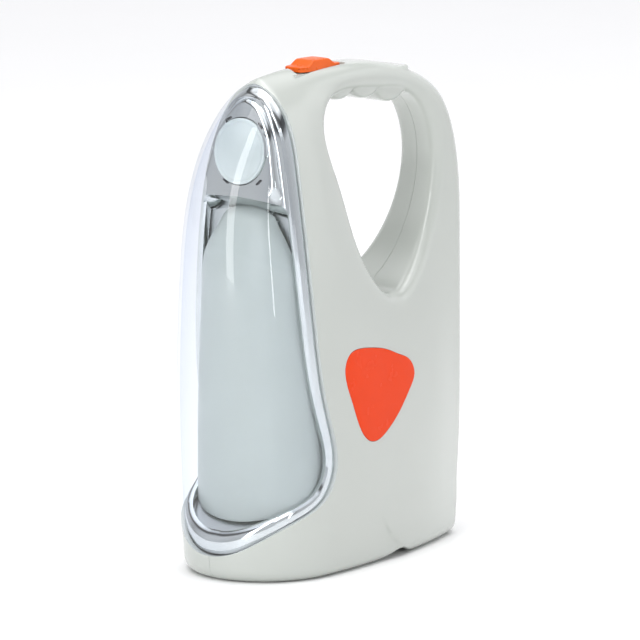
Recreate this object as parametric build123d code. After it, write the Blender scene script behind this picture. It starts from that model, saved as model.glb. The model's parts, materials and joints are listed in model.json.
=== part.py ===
from build123d import *
import os
from math import radians, tan

# Rechargeable LED lantern with a torch head, a loop handle and a slide switch.
# Millimetres. +Z up, the lamps face -Y, the origin is under the middle of the base.

# ---- driving dimensions -------------------------------------------------------------
HEIGHT = 250.0            # floor to the top of the switch knob
TOP_Z = 246.4             # highest line of the housing
BACK_Y = 91.8             # rearmost point of the handle
WALL = 2.6                # housing wall
COVER_WALL = 2.0          # clear cover wall
GAP = 0.2                 # assembly gap between fixed pieces
EASE = 0.02               # taken off the edge of the side inserts
RUN_GAP = 0.35            # gap round the sliding switch

# Plan sections of the body: height, half width at the rim, y of the rim, y of the
# front, half width at y = 0 and half width at REAR_Y.
SECTIONS = [
    (-4, 39.9, -46, -88.0, 36.6, 23.5),
    (24, 41.5, -46, -90.8, 37.6, 24.0),
    (52, 42.6, -46, -92.5, 38.0, 24.5),
    (100, 41.3, -48, -94.3, 35.0, 22.0),
    (150, 37.6, -50, -93.8, 27.6, 17.0),
    (195, 31.3, -52, -87.5, 17.8, 13.6),
    (222, 23.0, -53, -73.5, 13.6, 13.0),
    (234, 15.0, -53, -64.0, 13.0, 12.7),
    (242, 7.5, -53, -57.5, 12.8, 12.6),
    (252, 4.0, -53, -55.0, 12.6, 12.6),
]
REAR_Y = 60.0
PAST_BACK_Y = 104.0
PAST_BACK_X = 12.0        # half width there, the same at every height
THINNEST = 1.2            # least half width of a section after an inset
SPARE = 0.08              # stock left under the base until its edge is rounded

# Hand hole, in the plane of symmetry, as (y, z).
HAND_HOLE = [
    (-24.6, 215), (-19.5, 193), (-11, 165), (2, 143), (20, 131), (39, 138),
    (57, 158), (67, 186), (64.5, 209), (52, 224), (22, 230), (-12, 229),
]
HOLE_FILLET = 6.0
HANDLE_FILLET = 3.5
BASE_FILLET = 3.0
FINGER_PITCH = 19.0
FINGER_BUMPS = 3
BUMP_R = 17.0

# Base
FLOOR_Z = 8.2             # inside floor
RECESS_Z = 5.6            # depth of the hollow under the base
RECESS_INSET = 10.5       # width of the standing rim
NOTCH_Y = 17.0
NOTCH_Z = 4.6

# Diffuser sections: height, half width, depth in front of its back edge, back edge y.
DIFFUSER = [
    (6, 33.0, 25.0, -50), (52, 35.0, 25.5, -50), (100, 34.0, 25.5, -50),
    (142, 30.4, 24.0, -52), (163, 26.0, 20.5, -53), (175, 19.0, 15.0, -53.5),
    (181.5, 9.0, 8.0, -54),
]
DIFFUSER_WALL = 1.6

# Torch head
TORCH_Z = 209.5
TORCH_Y = -65.8
TORCH_TILT = 7.5          # lean of the panel, degrees
LENS_R = 16.2
PANEL_INSET = 7.5
BEZEL_INSET = 6.4         # inner side of the chrome ring, clear of the diffuser
PANEL_BOTTOM_Z = 188.0
LEDGE_Z = 182.6

# Switch
SWITCH_Y = -12.5
SWITCH_TRAVEL = 3.2       # each way from the middle, off, position
PLATE_LENGTH = 30.0
PLATE_WIDTH = 13.0
PLATE_Z = 244.5
PLATE_THICK = 2.3
STEM_LENGTH = 6.0
STEM_WIDTH = 3.4
CASE_TOP = 241.0
CASE_SIZE = (10.0, 22.0, 5.2)

# Screws, as (y, z), driven from the -X side
SCREWS = [(-28, 20), (75, 17), (-38, 165), (72, 118), (-38.5, 222), (79.8, 186)]
BOSS_R = 3.6
SCREW_R = 1.45
HEAD_R = 2.75
HEAD_LENGTH = 2.2
SCREW_LENGTH = 16.0
WELL_R = 3.3

# Inside
LED_BOARD_Y = -36.0
BATTERY = (46.0, 46.0, 70.0)
BATTERY_Y = 14.0
STRAP_WIDTH = 12.0
STRAP_THICK = 1.2
BOARD_THICK = 1.6
CHARGER_BOARD = (36.0, BOARD_THICK, 52.0)
CHARGER_BOARD_Y = 66.0
SOCKET_Z = 34.0
SOCKET_R = 4.0
SOCKET_FRONT_Y = 86.6      # end of the inlet's barrel, just under the back's surface
PLUG_R = 2.75              # bore for the charger's plug
INDICATOR_Z = 52.0
INDICATOR_R = 1.5
INDICATOR_Y = 87.4         # centre of the lamp's dome
LED_R = 2.5
LED_ROWS = 6
LED_PITCH_Z = 20.0
LED_PITCH_X = 24.0
LED_LOW_Z = 44.0
WIRE_R = 0.75


# ---- body form ----------------------------------------------------------------------
def plan_section(row, inset):
    """Half of one horizontal section, moved in by inset."""
    z, rim_x, rim_y, front_y, mid_x, rear_x = row
    rim_x = max(rim_x - inset, THINNEST)
    depth = max(rim_y - front_y - inset, THINNEST)
    mid_x = max(mid_x - inset, THINNEST)
    rear_x = max(rear_x - inset, THINNEST)
    front_y = rim_y - depth
    corner = 0.7071
    front = Spline(
        (0, front_y), (rim_x * corner, rim_y - depth * corner), (rim_x, rim_y),
        tangents=((1, 0), (0, 1)),
    )
    end_x = max(min(PAST_BACK_X - inset, rear_x), THINNEST)
    side = Spline(
        (rim_x, rim_y), (mid_x, 0), (rear_x, REAR_Y), (end_x, PAST_BACK_Y),
        tangents=((0, 1), (0, 1)),
    )
    back = Line((end_x, PAST_BACK_Y), (0, PAST_BACK_Y))
    middle = Line((0, PAST_BACK_Y), (0, front_y))
    return Plane.XY.offset(z) * make_face([front, side, back, middle])


def moved_spline(points, distance, samples, **kind):
    """Spline moved sideways by distance, to the left of its direction."""
    curve = Spline(points, **kind)
    if not distance:
        return curve
    moved = []
    for index in range(samples):
        place = index / (samples if kind.get("periodic") else samples - 1)
        along = curve % place
        left = Vector(-along.Y, along.X, 0)
        moved.append(curve @ place + left * distance)
    return Spline(moved, **kind)


def side_outline(inset):
    """Side view of the body, which trims the top and the back."""
    top = moved_spline(
        [(-99, 215), (-57, 243.4), (-36, TOP_Z), (-4, TOP_Z)], -inset, 7,
        tangents=((0.5, 1), (1, 0)),
    )
    shoulder = moved_spline(
        [(-4, TOP_Z), (24, 245.4), (50, 239.7), (74, 226.6), (86.5, 204), (BACK_Y, 160)],
        -inset, 9, tangents=((1, 0), (0, -1)),
    )
    rear = moved_spline(
        [(BACK_Y, 160), (90.6, 96), (87.4, 38.7), (80.5, -8)], -inset, 6,
        tangents=((0, -1), (-0.16, -1)),
    )
    corner = (-99, (rear @ 1).Y)
    edge = Polyline(rear @ 1, corner, top @ 0)
    return make_face([top, shoulder, rear, edge])


def body_form(inset=0.0):
    """The +X half of the solid body, moved in by inset."""
    loft_solid = loft([plan_section(row, inset) for row in SECTIONS])
    trimmed = loft_solid & extrude(Plane.YZ * side_outline(inset), 60)
    return trimmed & block((200, 300, 300), (0, 0, 150 - SPARE))


def hand_hole(grow=0.0):
    """The hole for the fingers, cut from the middle outwards."""
    outline = moved_spline(HAND_HOLE, -grow, 16, periodic=True)
    return extrude(Plane.YZ * make_face([outline]), 60)


RIM = [
    (-60, 256), (-54.6, 234), (-56, 205), (-56.8, 170), (-54.6, 123), (-47.8, 80),
    (-43, 55), (-49.5, 41), (-66, 31), (-83, 19.5), (-90, 12), (-101, 1),
]


def in_front(shift):
    """Everything in front of the rim line, the line itself moved back by shift."""
    rim = moved_spline(RIM, shift, 18)
    edge = Polyline(rim @ 1, (-130, 0), (-130, 256), rim @ 0)
    return extrude(Plane.YZ * make_face([rim, edge]), 60)


def whole(half):
    """Both halves of a piece that is symmetric about x = 0."""
    return half + mirror(half, Plane.YZ)


def bar_x(radius, y, z, x_from, x_to):
    """Round bar along X."""
    start = Plane(origin=(x_from, y, z), z_dir=(1, 0, 0))
    return extrude(start * Circle(radius), x_to - x_from)


def bar_y(radius, x, z, y_from, y_to):
    """Round bar along Y."""
    start = Plane(origin=(x, y_from, z), z_dir=(0, 1, 0))
    return extrude(start * Circle(radius), y_to - y_from)


def block(size, centre):
    """Box by its size and centre."""
    return Pos(*centre) * Box(*size)


FORM = body_form()
CAVITY = body_form(WALL)
TORCH_FRAME = Plane(
    origin=(0, TORCH_Y, TORCH_Z),
    x_dir=(1, 0, 0),
    z_dir=Vector(0, -1, 0).rotate(Axis.X, -TORCH_TILT),
)


# ---- housing ------------------------------------------------------------------------
def is_hole_edge(edge):
    box = edge.bounding_box()
    return box.min.X > 5 and box.min.Y > -29 and box.max.Y < 72 and box.min.Z > 120


def is_base_edge(edge):
    box = edge.bounding_box()
    return box.max.Z < 0.5 and box.max.X > 5


def is_handle_edge(edge):
    """Long outer edges of the grip and the back."""
    box = edge.bounding_box()
    outer = box.max.Z > 241 or box.max.Y > 85
    aside = box.min.X > 2 and 5 < box.max.X < 32 and box.size.X > 0.4
    return edge.length > 30 and outer and aside and box.min.Z > -1


def finger_bumps():
    """Rounded ribs between the fingers, under the grip."""
    bumps = []
    for index in range(FINGER_BUMPS):
        y = index * FINGER_PITCH
        crest_z = 229.2 - 0.0032 * y ** 2
        rib = bar_x(BUMP_R, y, crest_z + BUMP_R, -8.0, 8.0)
        width = FINGER_PITCH + 0.4
        bumps.append(rib & block((60, width, 40), (30, y, crest_z + 3.2 - 20)))
    return bumps


def side_insert_outline(grow):
    """Pick shape in side view, with its point down."""
    points = [
        (-33.9, 104.7), (-30.9, 108.4), (-21.4, 110.5), (-8.5, 109.1), (4.9, 106.3), (17.1, 101.9),
        (27.8, 96.5), (30.1, 91), (25, 84.1), (13, 73.9), (1.3, 66.5), (-5.8, 63.5), (-12.8, 63),
        (-18.8, 65.6), (-25.1, 73.7), (-30.1, 85.3),
    ]
    outline = moved_spline(points, grow, 18, periodic=True)
    return extrude(Plane.YZ * make_face([outline]), 60)


def base_recess():
    """The hollow under the base, inside the standing rim."""
    height, *rest = SECTIONS[0]
    outline = plan_section((-1.0, *rest), RECESS_INSET)
    recess = extrude(outline, RECESS_Z + 1.0)
    return recess & block((200, 200, 40), (0, 84.5 - RECESS_INSET - 100, 0))


def housing_half():
    """The +X shell, before its bosses and openings."""
    shell = FORM - in_front(0) - hand_hole()
    shell = fillet(shell.edges().filter_by(is_hole_edge), HOLE_FILLET)
    shell = fillet(shell.edges().filter_by(is_base_edge), BASE_FILLET)
    shell = fillet(shell.edges().filter_by(is_handle_edge), HANDLE_FILLET)
    shell = shell & block((200, 300, 300), (0, 0, 150))
    room = CAVITY - hand_hole(WALL) - block((200, 300, 40), (0, 0, FLOOR_Z - 20))
    for bump in finger_bumps():
        shell += bump
    notch = Polyline((NOTCH_Y - 23, -1), (NOTCH_Y, NOTCH_Z), (NOTCH_Y + 14, -1), close=True)
    notch = extrude(Plane.YZ * make_face(notch), 60)
    return shell - room - base_recess() - notch


def switch_recess():
    """Long shallow recess for the switch plate, with the slot for its stem."""
    length = PLATE_LENGTH + 2 * (SWITCH_TRAVEL + RUN_GAP)
    width = PLATE_WIDTH + 2 * RUN_GAP
    floor_z = PLATE_Z - RUN_GAP
    tray = block((width, length, 10), (0, SWITCH_Y, floor_z + 5))
    slot_length = STEM_LENGTH + 2 * (SWITCH_TRAVEL + RUN_GAP)
    slot = block((STEM_WIDTH + 2 * RUN_GAP, slot_length, 20), (0, SWITCH_Y, floor_z))
    return tray + slot


def switch_deck():
    """Inside thickening under the recess, over the slide switch."""
    thick = PLATE_Z - RUN_GAP - CASE_TOP - 1.2
    deck = block((19, 44, thick), (0, SWITCH_Y, CASE_TOP + 1.2 + thick / 2))
    return deck & body_form(1.0)


def rear_openings():
    """Holes in the back for the charging inlet and its indicator."""
    socket = bar_y(SOCKET_R + GAP, 0, SOCKET_Z, 80, 100)
    lamp = bar_y(INDICATOR_R + 0.1, 0, INDICATOR_Z, 80, 100)
    return socket + lamp


def boss_bars(radius, x_from, x_to):
    """One bar along X at each screw."""
    return [bar_x(radius, y, z, x_from, x_to) for y, z in SCREWS]


def housing_right():
    """+X shell: bosses with pilot holes."""
    shell = housing_half() + (switch_deck() & block((60, 200, 500), (30, 0, 0)))
    for boss in boss_bars(BOSS_R, 0.0, 50.0):
        shell += boss & FORM
    for pilot in boss_bars(SCREW_R + 0.05, -1.0, 9.0):
        shell -= pilot
    shell -= side_insert_outline(GAP) & (FORM - body_form(1.5))
    return shell - switch_recess() - rear_openings()


def housing_left():
    """-X shell: bosses with screw wells from outside."""
    shell = mirror(housing_half(), Plane.YZ)
    half_space = block((60, 200, 500), (-30, 0, 0))
    shell += mirror(switch_deck(), Plane.YZ) & half_space
    left_form = mirror(FORM, Plane.YZ)
    for boss in boss_bars(WELL_R + 1.6, -50.0, 0.0):
        shell += boss & left_form
    for hole in boss_bars(SCREW_R + 0.15, -10.0, 1.0):
        shell -= hole
    for well in boss_bars(WELL_R, -60.0, -5.0):
        shell -= well
    insert = side_insert_outline(GAP) & (FORM - body_form(1.5))
    shell -= mirror(insert, Plane.YZ)
    return shell - switch_recess() - rear_openings()


def side_insert():
    """Orange pick-shaped plate, flush in the +X wall."""
    return side_insert_outline(-EASE) & (FORM - body_form(1.4))


# ---- front --------------------------------------------------------------------------
def front_cover():
    half = (FORM - body_form(COVER_WALL)) & in_front(0)
    return whole(half)


def chrome_bezel():
    """Chrome ring that lines the rim of the cover."""
    ring = body_form(COVER_WALL + GAP) - body_form(BEZEL_INSET)
    half = ring & (in_front(-GAP) - in_front(-5.0))
    return whole(half)


def lantern_reflector():
    """Curved chrome panel that closes the housing behind the diffuser."""
    return body_form(WALL + GAP) & (in_front(1.8) - in_front(0.05))


def led_places():
    """(x, y, z) of every lantern LED, on the board's front."""
    places = []
    for row in range(LED_ROWS):
        for side in (-0.5, 0.5):
            places.append((side * LED_PITCH_X, LED_LOW_Z + row * LED_PITCH_Z))
    return places


def reflector_with_holes():
    panel = whole(lantern_reflector())
    panel -= bar_y(13.5, 0, TORCH_Z, -80, 0)
    for x, z in led_places():
        panel -= bar_y(LED_R + GAP, x, z, -80, 0)
    return panel


def lantern_board():
    height = LED_ROWS * LED_PITCH_Z + 6
    middle_z = LED_LOW_Z + (LED_ROWS - 1) * LED_PITCH_Z / 2
    return block((LED_PITCH_X + 12, BOARD_THICK, height), (0, LED_BOARD_Y, middle_z))


def lantern_leds():
    solids = []
    front_y = LED_BOARD_Y - BOARD_THICK / 2
    for x, z in led_places():
        length = 15.0
        stem = bar_y(LED_R, x, z, front_y - length, front_y)
        dome = Pos(x, front_y - length, z) * Sphere(LED_R)
        solids.append(stem + dome)
    return Compound(children=solids)


def diffuser_section(row, inset):
    z, half_width, depth, back_y = row
    half_width -= inset
    depth -= inset
    corner = 0.7071
    front = Spline(
        (0, back_y - depth), (half_width * corner, back_y - depth * corner),
        (half_width, back_y), tangents=((1, 0), (0, 1)),
    )
    side = Line((half_width, back_y), (half_width, -20))
    back = Line((half_width, -20), (0, -20))
    middle = Line((0, -20), (0, back_y - depth))
    return Plane.XY.offset(z) * make_face([front, side, back, middle])


def lantern_diffuser():
    outer = loft([diffuser_section(row, 0) for row in DIFFUSER])
    lowered = [(z - DIFFUSER_WALL, w, d, y) for z, w, d, y in DIFFUSER]
    inner = loft([diffuser_section(row, DIFFUSER_WALL) for row in lowered])
    floor = in_front(-DIFFUSER_WALL - GAP)
    half = (outer & in_front(-GAP)) - (inner & floor)
    half = half - (inner - in_front(-6.0))
    return whole(half)


def torch_region(inset):
    """Side view of the torch head, from its front plane back to the reflector panel."""
    lean = tan(radians(TORCH_TILT))
    top_y = TORCH_Y + lean * (239 - TORCH_Z)
    low_y = TORCH_Y - lean * (TORCH_Z - PANEL_BOTTOM_Z)
    outline = make_face(Polyline(
        (top_y + inset, 239), (low_y + inset, PANEL_BOTTOM_Z + inset * 0.6),
        (low_y + 8 + inset, LEDGE_Z + inset), (-40, LEDGE_Z + inset), (-40, 239),
        close=True,
    ))
    return extrude(Plane.YZ * outline, 60)


def torch_panel():
    outer = body_form(PANEL_INSET) & torch_region(0) & in_front(-GAP)
    inner = body_form(PANEL_INSET + 1.6) & torch_region(1.8)
    panel = whole(outer - inner)
    hole = extrude(TORCH_FRAME.offset(-12) * Circle(LENS_R + 0.2), 24)
    return panel - hole


def torch_lens():
    """Shallow dome with a flat rim."""
    disc = extrude(TORCH_FRAME.offset(-1.6) * Circle(LENS_R), 2.0)
    ball_r = 48.0
    ball = TORCH_FRAME.offset(3.4 - ball_r) * Sphere(ball_r)
    dome = extrude(TORCH_FRAME.offset(0.4) * Circle(LENS_R - 1.0), 6.0) & ball
    return disc + dome


def torch_reflector():
    """Conical bowl behind the lens."""
    rings = ((-1.8, LENS_R - 0.2), (-8.0, 12.0), (-15.0, 5.0))
    outer = loft([TORCH_FRAME.offset(level) * Circle(radius) for level, radius in rings])
    bore = ((-1.0, LENS_R - 1.0), (-8.0, 10.8), (-16.0, 3.6))
    inner = loft([TORCH_FRAME.offset(level) * Circle(radius) for level, radius in bore])
    return outer - inner


def torch_led():
    base = extrude(TORCH_FRAME.offset(-16.2) * Circle(3.2), 1.8)
    dome = TORCH_FRAME.offset(-14.4) * Sphere(2.2, arc_size1=0)
    return base + dome


def torch_led_board():
    return extrude(TORCH_FRAME.offset(-17.8) * Circle(9.0), BOARD_THICK)


# ---- switch -------------------------------------------------------------------------
def switch_knob():
    """Flat plate with a rounded hump across it and a stem below."""
    plate = block(
        (PLATE_WIDTH, PLATE_LENGTH, PLATE_THICK), (0, SWITCH_Y, PLATE_Z + PLATE_THICK / 2))
    plate = fillet(plate.edges().filter_by(Axis.Z), 2.5)
    top_z = PLATE_Z + PLATE_THICK
    hump_outline = make_face([
        Polyline((SWITCH_Y + 6, HEIGHT), (SWITCH_Y - 6, HEIGHT)),
        Spline((SWITCH_Y - 6, HEIGHT), (SWITCH_Y - 10, top_z), tangents=((-1, 0), (-1, -0.8))),
        Line((SWITCH_Y - 10, top_z), (SWITCH_Y - 10, PLATE_Z + 0.5)),
        Line((SWITCH_Y - 10, PLATE_Z + 0.5), (SWITCH_Y + 10, PLATE_Z + 0.5)),
        Line((SWITCH_Y + 10, PLATE_Z + 0.5), (SWITCH_Y + 10, top_z)),
        Spline((SWITCH_Y + 10, top_z), (SWITCH_Y + 6, HEIGHT), tangents=((-1, 0.8), (-1, 0))),
    ])
    hump = extrude(Plane.YZ * hump_outline, (PLATE_WIDTH - 1.6) / 2, both=True)
    stem_low = CASE_TOP + 0.4
    stem = block(
        (STEM_WIDTH, STEM_LENGTH, PLATE_Z - stem_low + 0.5),
        (0, SWITCH_Y, (PLATE_Z + stem_low + 0.5) / 2))
    pocket = block((2.4 + 0.1, 3.0 + 0.1, 3.0), (0, SWITCH_Y, stem_low))
    return plate + hump + stem - pocket


def switch_slider():
    """The switch's own actuator, held in the knob's stem."""
    return block((2.4, 3.0, 4.2), (0, SWITCH_Y, CASE_TOP - 0.4))


def switch_case():
    width, length, height = CASE_SIZE
    case = block((width, length, height), (0, SWITCH_Y, CASE_TOP - height / 2))
    travel = 3.0 + 2 * (SWITCH_TRAVEL + RUN_GAP)
    slot = block((2.4 + 2 * RUN_GAP, travel, 6.0), (0, SWITCH_Y, CASE_TOP))
    return case - slot


def switch_terminals():
    low_z = CASE_TOP - CASE_SIZE[2]
    pins = [
        block((0.8, 1.6, 1.8), (x, SWITCH_Y + index * 5.0, low_z - 0.9))
        for x in (-2.5, 2.5) for index in (-1, 0, 1)
    ]
    return Compound(children=pins)


# ---- inside -------------------------------------------------------------------------
def battery():
    body = block(BATTERY, (0, BATTERY_Y, FLOOR_Z + GAP + BATTERY[2] / 2))
    return fillet(body.edges().filter_by(Axis.Z), 2.0)


def battery_terminals():
    top = FLOOR_Z + GAP + BATTERY[2]
    tabs = [block((4.8, 0.8, 6.0), (x, BATTERY_Y, top + 3.0)) for x in (-13, 13)]
    return Compound(children=tabs)


def battery_strap():
    """Bent strap over the battery, with a foot on each side."""
    length, height = BATTERY[1:]
    top = FLOOR_Z + GAP + height
    reach = length / 2 + GAP
    thick = STRAP_THICK
    strap = block((STRAP_WIDTH, 2 * (reach + thick), thick), (0, BATTERY_Y, top + GAP + thick / 2))
    for side in (-1, 1):
        leg_y = BATTERY_Y + side * (reach + thick / 2)
        leg_height = top + GAP - FLOOR_Z
        strap += block((STRAP_WIDTH, thick, leg_height), (0, leg_y, FLOOR_Z + leg_height / 2))
        foot_y = BATTERY_Y + side * (reach + thick + 3)
        strap += block((STRAP_WIDTH, 8, thick), (0, foot_y, FLOOR_Z + thick / 2 + 0.1))
    return strap


def charger_board():
    return block(CHARGER_BOARD, (0, CHARGER_BOARD_Y, 20 + CHARGER_BOARD[2] / 2))


def charger_capacitor():
    face = CHARGER_BOARD_Y - BOARD_THICK / 2
    return bar_y(5.0, -9, 58, face - 12.0, face)


def charger_diodes():
    face = CHARGER_BOARD_Y + BOARD_THICK / 2
    places = [(x, z) for x in (-13, -8) for z in (30, 42)]
    return Compound(children=[block((3.0, 2.6, 6.0), (x, face + 1.3, z)) for x, z in places])


def charging_socket():
    face = CHARGER_BOARD_Y + BOARD_THICK / 2
    body = block((10, 12, 11), (0, face + 6, SOCKET_Z))
    barrel = bar_y(SOCKET_R, 0, SOCKET_Z, face + 12, SOCKET_FRONT_Y)
    bore = bar_y(PLUG_R, 0, SOCKET_Z, SOCKET_FRONT_Y - 9, SOCKET_FRONT_Y + 1)
    pin = bar_y(1.0, 0, SOCKET_Z, SOCKET_FRONT_Y - 9.5, SOCKET_FRONT_Y - 1)
    return body + barrel - bore + pin


def charge_indicator():
    face = CHARGER_BOARD_Y + BOARD_THICK / 2
    stem = bar_y(INDICATOR_R, 0, INDICATOR_Z, face, INDICATOR_Y)
    return stem + Pos(0, INDICATOR_Y, INDICATOR_Z) * Sphere(INDICATOR_R)


def housing_screws():
    screws = []
    for y, z in SCREWS:
        head_x = -5.0 - HEAD_LENGTH
        head = bar_x(HEAD_R, y, z, head_x, -5.0)
        shank = bar_x(SCREW_R, y, z, -5.0, SCREW_LENGTH - 5.0 - HEAD_LENGTH - 1.0)
        cross = block((1.2, 0.8, 3.4), (head_x, y, z)) + block((1.2, 3.4, 0.8), (head_x, y, z))
        screws.append(head + shank - cross)
    return Compound(children=screws)


def wire_pair(route, spread):
    """Two leads side by side along the same route of (y, z) points."""
    leads = []
    for side in (-1, 1):
        x = side * spread
        points = [(x, y, z) for y, z in route]
        path = FilletPolyline(*points, radius=6.0) if len(points) > 2 else Line(*points)
        start = Plane(origin=path @ 0, z_dir=path % 0)
        leads.append(sweep(start * Circle(WIRE_R), path=path))
    return Compound(children=leads)


def main():
    os.makedirs("parts", exist_ok=True)
    insert = side_insert()
    battery_top = FLOOR_Z + GAP + BATTERY[2]
    parts = {
        "housing_right": housing_right(),
        "housing_left": housing_left(),
        "front_cover": front_cover(),
        "chrome_bezel": chrome_bezel(),
        "lantern_reflector": reflector_with_holes(),
        "lantern_diffuser": lantern_diffuser(),
        "lantern_led_board": lantern_board(),
        "lantern_leds": lantern_leds(),
        "torch_panel": torch_panel(),
        "torch_lens": torch_lens(),
        "torch_reflector": torch_reflector(),
        "torch_led": torch_led(),
        "torch_led_board": torch_led_board(),
        "side_insert_right": insert,
        "side_insert_left": mirror(insert, Plane.YZ),
        "switch_knob": switch_knob(),
        "switch_slider": switch_slider(),
        "switch_case": switch_case(),
        "switch_terminals": switch_terminals(),
        "battery": battery(),
        "battery_terminals": battery_terminals(),
        "battery_strap": battery_strap(),
        "charger_board": charger_board(),
        "charger_capacitor": charger_capacitor(),
        "charger_diodes": charger_diodes(),
        "charging_socket": charging_socket(),
        "charge_indicator": charge_indicator(),
        "housing_screws": housing_screws(),
        "battery_wires": wire_pair(
            [(BATTERY_Y + 4, battery_top + 3), (48, battery_top + 3), (48, 66),
             (CHARGER_BOARD_Y - BOARD_THICK / 2, 66)], 13),
        "switch_wires": wire_pair(
            [(CHARGER_BOARD_Y - BOARD_THICK / 2, 70), (48, 70), (48, 102), (-30.5, 110),
             (-30.5, 216), (-19, 233.0)], 3),
    }
    for name, shape in parts.items():
        export_step(shape, f"parts/{name}.step")
        print(name, shape.is_valid, round(shape.volume, 1))


main()
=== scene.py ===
import json
import math
import bmesh
import bpy
import numpy as np
from mathutils import Matrix, Vector


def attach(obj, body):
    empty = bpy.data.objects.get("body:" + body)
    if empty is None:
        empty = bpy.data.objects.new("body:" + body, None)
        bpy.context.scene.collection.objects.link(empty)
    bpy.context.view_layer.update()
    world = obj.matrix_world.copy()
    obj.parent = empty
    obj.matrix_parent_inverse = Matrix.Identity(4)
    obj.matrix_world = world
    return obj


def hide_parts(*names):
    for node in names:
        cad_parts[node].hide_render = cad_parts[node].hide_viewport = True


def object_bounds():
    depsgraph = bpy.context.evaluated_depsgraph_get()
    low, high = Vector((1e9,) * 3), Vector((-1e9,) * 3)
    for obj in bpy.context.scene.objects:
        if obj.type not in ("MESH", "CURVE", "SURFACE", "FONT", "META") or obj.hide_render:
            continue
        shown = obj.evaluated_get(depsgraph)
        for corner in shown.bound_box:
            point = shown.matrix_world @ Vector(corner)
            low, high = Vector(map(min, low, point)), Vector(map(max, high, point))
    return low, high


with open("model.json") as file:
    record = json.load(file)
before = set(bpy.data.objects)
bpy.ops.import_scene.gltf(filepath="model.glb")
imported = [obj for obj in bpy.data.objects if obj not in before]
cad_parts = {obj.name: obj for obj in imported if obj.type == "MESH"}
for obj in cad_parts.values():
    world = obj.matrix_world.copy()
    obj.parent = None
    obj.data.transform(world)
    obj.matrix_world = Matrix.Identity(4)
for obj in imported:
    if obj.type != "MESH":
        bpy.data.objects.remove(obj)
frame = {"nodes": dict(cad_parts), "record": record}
CAD_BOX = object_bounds()
NODES = frame["nodes"]
MM = 0.001
FIXED = "housing"
MOVING = "switch"

# Form data in millimetres, as in the CAD model. The hand hole's top is a little higher,
# because the ribs between the fingers are blended into it here.

# Height, half width at the rim, y of the rim, y of the front, half widths at y = 0 and REAR_Y.
SECTIONS = np.array([
    (-4, 39.9, -46, -88.0, 36.6, 23.5),
    (24, 41.5, -46, -90.8, 37.6, 24.0),
    (52, 42.6, -46, -92.5, 38.0, 24.5),
    (100, 41.3, -48, -94.3, 35.0, 22.0),
    (150, 37.6, -50, -93.8, 27.6, 17.0),
    (195, 31.3, -52, -87.5, 17.8, 13.6),
    (222, 23.0, -53, -73.5, 13.6, 13.0),
    (234, 15.0, -53, -64.0, 13.0, 12.7),
    (242, 7.5, -53, -57.5, 12.8, 12.6),
    (252, 4.0, -53, -55.0, 12.6, 12.6),
], float)
REAR_Y = 60.0
PAST_BACK_Y = 104.0
PAST_BACK_X = 12.0
TOP_Z = 246.4
BACK_Y = 91.8
EDGE_R = 8.5              # rounding of the long outer edges
BASE_R = 6.5
HOLE_R = 6.0
RIB_PITCH = 19.0
RIB_R = 14.0
RIB_HALF_WIDTH = 9.6
HAND_HOLE = [
    (-24.6, 215), (-19.5, 193), (-11, 165), (2, 143), (20, 131), (39, 138),
    (57, 158), (67, 186), (65, 209), (53, 225.5), (22, 231.8), (-12, 230),
]
RIM = [
    (-60, 256), (-54.6, 234), (-56, 205), (-56.8, 170), (-54.6, 123), (-47.8, 80),
    (-43, 55), (-49.5, 41), (-66, 31), (-83, 19.5), (-90, 12), (-101, 1),
]
INSERT = [
    (-33.9, 104.7), (-30.9, 108.4), (-21.4, 110.5), (-8.5, 109.1), (4.9, 106.3), (17.1, 101.9),
    (27.8, 96.5), (30.1, 91), (25, 84.1), (13, 73.9), (1.3, 66.5), (-5.8, 63.5), (-12.8, 63),
    (-18.8, 65.6), (-25.1, 73.7), (-30.1, 85.3),
]
# Side view of the raised foot behind the notch in the base, and of the notch.
CREASE = [(-10, 34), (-2.8, 22), (1, 16), (7, 10), (14, 4.5), (20, -2), (140, -4), (140, 34)]
NOTCH = [(-6, -1), (17, 4.6), (31, -1)]
# Height, half width, depth and back edge of the diffuser.
DIFFUSER = np.array([
    (-6, 31.0, 25.0, -50), (6, 33.0, 25.0, -50), (52, 35.0, 25.5, -50), (100, 34.0, 25.5, -50),
    (142, 30.4, 24.0, -52), (163, 26.0, 20.5, -53), (175, 18.5, 14.6, -53.5),
    (181.5, 9.0, 7.6, -54), (183.2, 2.0, 2.4, -54.5),
], float)
SCREWS = [(-28, 20), (75, 17), (-38, 165), (72, 118), (-38.5, 222), (79.8, 186)]
SOCKET_Z = 34.0
SOCKET_HOLE_R = 4.2
INDICATOR_Z = 52.0
INDICATOR_HOLE_R = 1.6
WALL = 2.6
COVER_WALL = 1.8
TORCH = Vector((0, -65.8, 209.5))
TORCH_TILT = math.radians(7.5)
LENS_R = 16.2
SWITCH_Y = -12.5
KNOB_HALF_LENGTH = 15.0
KNOB_HALF_WIDTH = 6.5
TRAY_Z = 243.3            # floor of the recess that the switch slides in
TRAY_THICK = 1.4


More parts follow.
